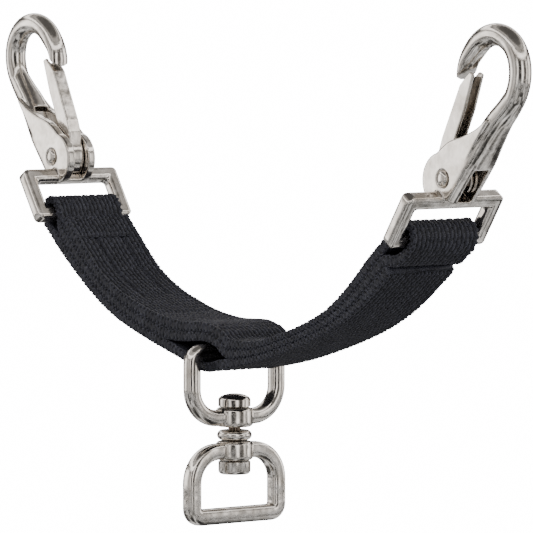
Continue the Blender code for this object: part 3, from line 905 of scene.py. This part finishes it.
def strap(material, thread):
    courses, ply, s, up, x = strap_courses()
    middle = int(np.argmin(np.abs(x)))
    seams = seam_plan(s, x)
    left = left_half(courses, ply, s, middle, seams, material)
    right = right_half(courses, ply, s, middle, seams, material)
    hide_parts("strap_left", "strap_centre")
    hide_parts("strap_right")
    blend_half(left)
    blend_half(right)
    face = courses["top"] + up * (ply / 2 - WEAVE_DEPTH - 0.08)[:, None]
    stitches(face, s, x, thread)


def blend_half(item):
    """Bakes the piece's placement into its mesh."""
    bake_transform(item)


# Stitching


def stitch(centre, along, up, length, radius):
    """A short thread that dips into the webbing at both ends."""
    centre, along, up = Vector(centre), Vector(along).normalized(), Vector(up).normalized()
    across = along.cross(up)
    rings, sides = 9, 10
    points = []
    for i in range(rings):
        t = i / (rings - 1) * 2 - 1
        swell = radius * (1 - t**6) ** 0.5 if abs(t) < 1 else 0.02
        spot = centre + along * (length / 2 * t) + up * (radius * 0.5 * (1 - t * t) - radius * 0.25)
        for k in range(sides):
            a = 2 * pi * k / sides
            points.append(spot + (across * cos(a) + up * sin(a)) * max(swell, 0.02))
    return points, rings, sides


def stitch_row(spots, rows):
    """Stitches along a row of (point, direction, up)."""
    for spot, along, up in spots:
        rows.append(stitch(spot, along, up, STITCH_LENGTH, STITCH_RADIUS))


def stitches(face, s, x, thread):
    """The seams at both ends of the strap and on both sides of its pocket."""
    gradient = np.gradient(face, axis=0)
    gradient /= np.hypot(*gradient.T)[:, None]

    def at(distance, y):
        i = int(np.searchsorted(s, distance))
        i = min(max(i, 1), len(s) - 2)
        along = (gradient[i][0], 0.0, gradient[i][1])
        up = (-gradient[i][1], 0.0, gradient[i][0])
        return (face[i][0], y, face[i][1]), along, up

    right = s[-1] - RIGHT_SEAM
    pocket = pocket_seams(s, x)
    plans = {
        "left": ((LEFT_SEAM, pocket[0]), (LEFT_SEAM + RUN_GAP, LEFT_SEAM + LEFT_RUN)),
        "right": ((right, pocket[1]), (right - RIGHT_RUN, right - RUN_GAP)),
    }
    for side, (bars, (low, high)) in plans.items():
        rows = []
        for bar in bars:
            spots = []
            for k in range(-3, 3):
                point, _, up = at(bar, (k + 0.5) * PITCH_ACROSS)
                spots.append((point, (0.0, 1.0, 0.0), up))
            stitch_row(spots, rows)
        for y in (-SEAM_SIDE, SEAM_SIDE):
            count = int((high - low) / PITCH_ALONG)
            stitch_row([at(low + PITCH_ALONG * k, y) for k in range(count)], rows)
        points, faces = [], []
        for spots, rings, sides in rows:
            base = len(points)
            points += spots
            for i in range(rings - 1):
                for k in range(sides):
                    n = (k + 1) % sides
                    a, b = base + i * sides, base + (i + 1) * sides
                    faces.append((a + k, a + n, b + n, b + k))
            faces.append(tuple(base + k for k in range(sides)))
            faces.append(tuple(base + (rings - 1) * sides + k for k in range(sides)))
        item = mesh_object(f"stitching_{side}", points, faces)
        item.data.shade_smooth()
        item.data.materials.append(thread)
        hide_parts(f"{side}_end_stitching", f"pocket_stitching_{side}")
        blend_half(item)


# Materials


def new_material(name):
    material = bpy.data.materials.new(name)
    material.use_nodes = True
    tree = material.node_tree
    return material, tree, tree.nodes["Principled BSDF"]


def fill(tree, made, inputs):
    """Sets a node's inputs, each to a value or to the socket that feeds it."""
    for key, value in inputs.items():
        socket = made.inputs[key]
        if isinstance(value, bpy.types.NodeSocket):
            tree.links.new(value, socket)
        else:
            socket.default_value = value


def node(tree, kind, inputs=None, **settings):
    made = tree.nodes.new(kind)
    for key, value in settings.items():
        setattr(made, key, value)
    fill(tree, made, inputs or {})
    return made


def coordinates(tree, kind):
    return node(tree, "ShaderNodeTexCoord").outputs[kind]


def pointiness(tree):
    return node(tree, "ShaderNodeNewGeometry").outputs["Pointiness"]


def noise(tree, spot, scale, detail):
    inputs = {"Vector": spot, "Scale": scale, "Detail": detail}
    return node(tree, "ShaderNodeTexNoise", inputs).outputs["Fac"]


def bump(tree, height, strength, distance, normal=None):
    inputs = {"Strength": strength, "Distance": distance, "Height": height}
    if normal is not None:
        inputs["Normal"] = normal
    return node(tree, "ShaderNodeBump", inputs).outputs["Normal"]


def mix_colours(tree, first, second, blend="MIX", factor=1.0):
    """Two colours mixed. The node's sockets 6 and 7 are its two colours, and output 2 is the colour made."""
    inputs = {"Factor": factor, 6: first, 7: second}
    return node(tree, "ShaderNodeMix", inputs, data_type="RGBA", blend_type=blend).outputs[2]


def mix_shaders(tree, factor, first, second):
    return node(tree, "ShaderNodeMixShader", {0: factor, 1: first, 2: second}).outputs[0]


def arithmetic(tree, operation, *values):
    return node(tree, "ShaderNodeMath", dict(enumerate(values)), operation=operation).outputs[0]


def ramp(tree, factor, stops):
    """A colour ramp. Stops are (place, grey or colour)."""
    made = node(tree, "ShaderNodeValToRGB", {"Fac": factor})
    points = made.color_ramp.elements
    points.remove(points[1])
    points[0].position = stops[0][0]
    for spot, _ in stops[1:]:
        points.new(spot)
    for point, (_, colour) in zip(points, stops):
        point.color = (*colour, 1.0) if isinstance(colour, tuple) else (colour, colour, colour, 1.0)
    return made.outputs["Color"]


def nickel_material():
    """Bright nickel plate on a slightly uneven casting, with painted shade in its hollows, where it is darker
    and browner.
    """
    material, tree, shader = new_material("nickel_plate_look")
    spot = coordinates(tree, "Object")
    # Painted shade: concave places, found by pointiness, get a dark brown in place of the nickel's tint.
    painted_hollow_shade = ramp(tree, pointiness(tree), [(0.45, 0.0), (0.497, 1.0)])
    tint = ramp(tree, noise(tree, spot, 260.0, 4.0), [(0.3, (0.56, 0.52, 0.47)), (0.65, (0.84, 0.80, 0.755))])
    grain = noise(tree, spot, 900.0, 4.0)
    uneven = bump(tree, noise(tree, spot, 160.0, 2.5), 0.45, 0.0004)
    surface = {
        "Base Color": mix_colours(tree, (0.10, 0.08, 0.062, 1.0), tint, factor=painted_hollow_shade),
        "Metallic": 1.0,
        "Roughness": ramp(tree, grain, [(0.3, 0.09), (0.75, 0.24)]),
        "Normal": bump(tree, grain, 0.12, 0.00005, uneven),
    }
    fill(tree, shader, surface)
    return material


def steel_material():
    material, tree, shader = new_material("spring_steel_look")
    grain = noise(tree, coordinates(tree, "Object"), 700.0, 3.0)
    surface = {
        "Base Color": ramp(tree, grain, [(0.3, (0.22, 0.21, 0.2)), (0.7, (0.42, 0.41, 0.4))]),
        "Metallic": 1.0,
        "Roughness": ramp(tree, grain, [(0.3, 0.25), (0.7, 0.45)]),
    }
    fill(tree, shader, surface)
    return material


def webbing_material():
    """Black nylon: fine threads along each yarn, with a painted highlight on top of the weave and painted
    shade in its gaps.
    """
    material, tree, shader = new_material("nylon_webbing_look")
    uv = coordinates(tree, "UV")
    drawn = node(tree, "ShaderNodeMapping", {"Vector": uv, "Scale": (1.0, 9.0, 1.0)}).outputs["Vector"]
    thread = noise(tree, drawn, 260.0, 4.0)
    # Painted light and shade: the weave's raised tops, found by pointiness, are made paler and its gaps
    # nearly black.
    painted_weave_light = ramp(tree, pointiness(tree), [(0.44, 0.05), (0.54, 1.15)])
    dark = ramp(tree, thread, [(0.3, (0.018, 0.019, 0.027)), (0.7, (0.056, 0.060, 0.082))])
    worn = ramp(tree, noise(tree, uv, 22.0, 3.0), [(0.35, 0.8), (0.7, 1.25)])
    surface = {
        "Base Color": mix_colours(tree, mix_colours(tree, dark, painted_weave_light, "MULTIPLY"), worn, "MULTIPLY"),
        "Roughness": ramp(tree, thread, [(0.3, 0.5), (0.7, 0.72)]),
        "Normal": bump(tree, thread, 0.5, 0.00008),
        "Specular IOR Level": 0.3,
    }
    fill(tree, shader, surface)
    return material


def thread_material():
    material, tree, shader = new_material("sewing_thread_look")
    twist = noise(tree, coordinates(tree, "Object"), 2600.0, 2.0)
    surface = {
        "Base Color": ramp(tree, twist, [(0.3, (0.016, 0.017, 0.024)), (0.7, (0.046, 0.049, 0.066))]),
        "Roughness": ramp(tree, twist, [(0.3, 0.5), (0.7, 0.75)]),
        "Normal": bump(tree, twist, 0.4, 0.00005),
        "Specular IOR Level": 0.2,
    }
    fill(tree, shader, surface)
    return material


# Studio


def make_camera():
    data = bpy.data.cameras.new("camera")
    data.lens = CAMERA_LENS
    data.clip_start = 0.05
    camera = bpy.data.objects.new("camera", data)
    level = cos(CAMERA_ELEVATION)
    back = Vector((sin(CAMERA_AZIMUTH) * level, -cos(CAMERA_AZIMUTH) * level, sin(CAMERA_ELEVATION)))
    camera.location = Vector(CAMERA_TARGET) + back * CAMERA_DISTANCE
    camera.rotation_euler = (-back).to_track_quat("-Z", "Y").to_euler()
    bpy.context.scene.collection.objects.link(camera)
    bpy.context.scene.camera = camera


# What the nickel mirrors of the floor, as (noise, brightness).
FLOOR_STREAKS = ((0.38, 0.02), (0.45, 0.1), (0.52, 0.8), (0.58, 0.15), (0.68, 0.03))


def make_floor():
    """A floor that is white to the camera, pale to diffuse light and streaked in the nickel."""
    bpy.ops.mesh.primitive_plane_add(size=FLOOR_SIZE, location=(0.0, 0.0, FLOOR_HEIGHT))
    floor = bpy.context.object
    floor.name = "floor"
    material, tree, shader = new_material("floor_white")
    fill(tree, shader, {"Base Color": (0.6, 0.59, 0.58, 1.0), "Roughness": 0.9})
    glow = node(tree, "ShaderNodeEmission", {"Color": WHITE, "Strength": BACKDROP_STRENGTH})
    rays = node(tree, "ShaderNodeLightPath").outputs
    streaks = ramp(tree, noise(tree, coordinates(tree, "Object"), 7.0, 1.0), FLOOR_STREAKS)
    mirrored = node(tree, "ShaderNodeEmission", {"Color": streaks, "Strength": FLOOR_MIRRORED})
    unseen = mix_shaders(tree, rays["Is Glossy Ray"], shader.outputs[0], mirrored.outputs[0])
    mixed = mix_shaders(tree, rays["Is Camera Ray"], unseen, glow.outputs[0])
    fill(tree, tree.nodes["Material Output"], {"Surface": mixed})
    floor.data.materials.append(material)


# The studio round the object, as (share of a turn from straight behind it, brightness).
WALLS = (
    (0.0, 0.04), (0.04, 0.01), (0.13, 0.02), (0.17, 0.2), (0.23, 0.7), (0.26, 0.1),
    (0.29, 0.12), (0.31, 0.6), (0.34, 0.03), (0.40, 0.02), (0.44, 0.7), (0.48, 0.01),
    (0.55, 0.01), (0.58, 0.5), (0.62, 0.03), (0.68, 0.25), (0.72, 0.1), (0.76, 0.3),
    (0.80, 0.75), (0.83, 0.2), (0.86, 0.02), (0.92, 0.01), (0.94, 0.5), (0.96, 0.02),
)
# How the walls fade upwards, and the lamps above them, as (height on a unit sphere, brightness).
WALL_TOPS = ((0.3, 1.0), (0.4, 0.05), (0.55, 0.05), (0.62, 0.0))
ROOF = ((0.42, 0.0), (0.48, 0.5), (0.58, 0.7), (0.64, 0.04), (0.76, 0.16), (0.84, 0.03), (0.97, 0.03))


def make_world():
    """A white backdrop for the camera, and a studio of softboxes and dark flags for everything else."""
    world = bpy.data.worlds.new("studio")
    world.use_nodes = True
    tree = world.node_tree
    rotation = {"Vector": coordinates(tree, "Generated"), "Angle": -CAMERA_AZIMUTH}
    turned = node(tree, "ShaderNodeVectorRotate", rotation, rotation_type="Z_AXIS").outputs[0]
    parts = node(tree, "ShaderNodeSeparateXYZ", {"Vector": turned}).outputs
    around = arithmetic(tree, "ARCTAN2", parts["X"], parts["Y"])
    share = arithmetic(tree, "FRACT", arithmetic(tree, "MULTIPLY_ADD", around, 1 / (2 * pi), 0.0))
    walls = mix_colours(tree, ramp(tree, share, WALLS), ramp(tree, parts["Z"], WALL_TOPS), "MULTIPLY")
    level = mix_colours(tree, walls, ramp(tree, parts["Z"], ROOF), "ADD")
    warm = mix_colours(tree, level, (1.0, 0.965, 0.93, 1.0), "MULTIPLY")
    studio = node(tree, "ShaderNodeBackground", {"Color": warm, "Strength": STUDIO_STRENGTH})
    backdrop = tree.nodes["Background"]
    fill(tree, backdrop, {"Color": WHITE, "Strength": BACKDROP_STRENGTH})
    seen = node(tree, "ShaderNodeLightPath").outputs["Is Camera Ray"]
    mixed = mix_shaders(tree, seen, studio.outputs[0], backdrop.outputs[0])
    fill(tree, tree.nodes["World Output"], {"Surface": mixed})
    bpy.context.scene.world = world


def main():
    nickel, steel = nickel_material(), steel_material()
    snap_hooks(nickel, steel)
    double_swivel(nickel)
    strap(webbing_material(), thread_material())
    make_camera()
    make_floor()
    make_world()


main()
